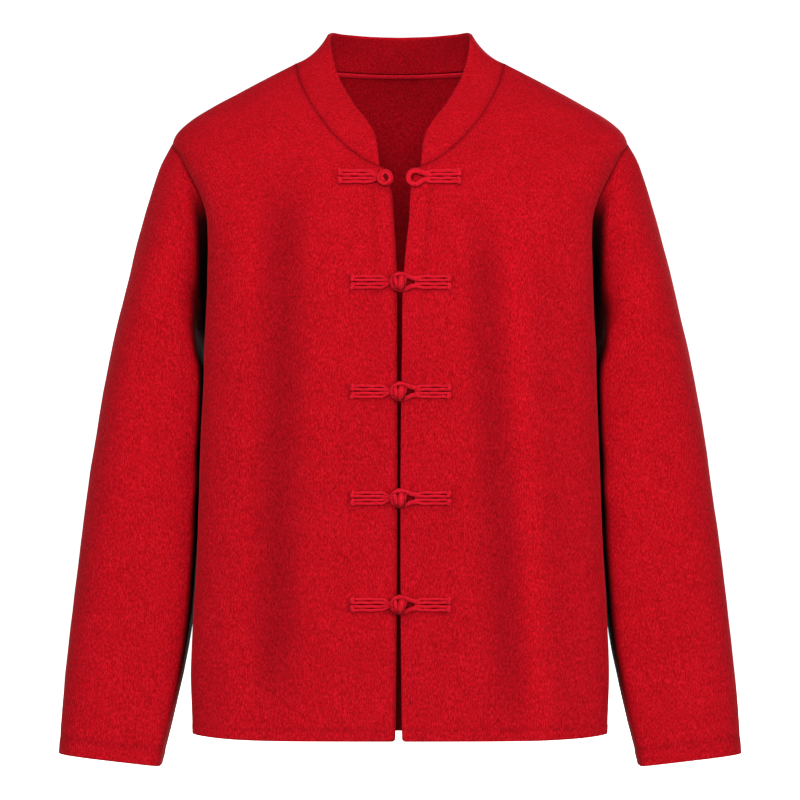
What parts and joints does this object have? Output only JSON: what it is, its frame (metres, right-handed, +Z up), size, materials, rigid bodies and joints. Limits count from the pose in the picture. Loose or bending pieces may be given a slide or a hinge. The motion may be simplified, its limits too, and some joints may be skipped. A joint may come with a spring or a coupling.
{
  "type": "tang jacket",
  "caption": "Red felted-wool tang jacket with a stand collar, set-in sleeves and corded frog fastenings, filled out as worn and hollow.",
  "frame": {"origin": "midway between the two points where the shoulder seams meet the neck, where the wearer's shoulders hold the jacket up", "axes": "+Z up, +X to the wearer's left, -Y out of the front"},
  "size_m": [0.63, 0.2331, 0.679],
  "materials": {
    "wool": "felted wool, brushed and matt",
    "cord": "wool cord, matt",
    "tape": "woven tape, matt"
  },
  "bodies": {
    "root": {"front_right": "wool", "front_left": "wool", "back": "wool", "sleeve_right": "wool", "sleeve_left": "wool", "collar": "wool", "neck_tape": "tape", "knot_1": "cord", "knot_2": "cord", "knot_3": "cord", "knot_4": "cord", "knot_5": "cord", "loop_1": "cord", "loop_2": "cord", "loop_3": "cord", "loop_4": "cord", "loop_5": "cord"}
  },
  "joints": []
}
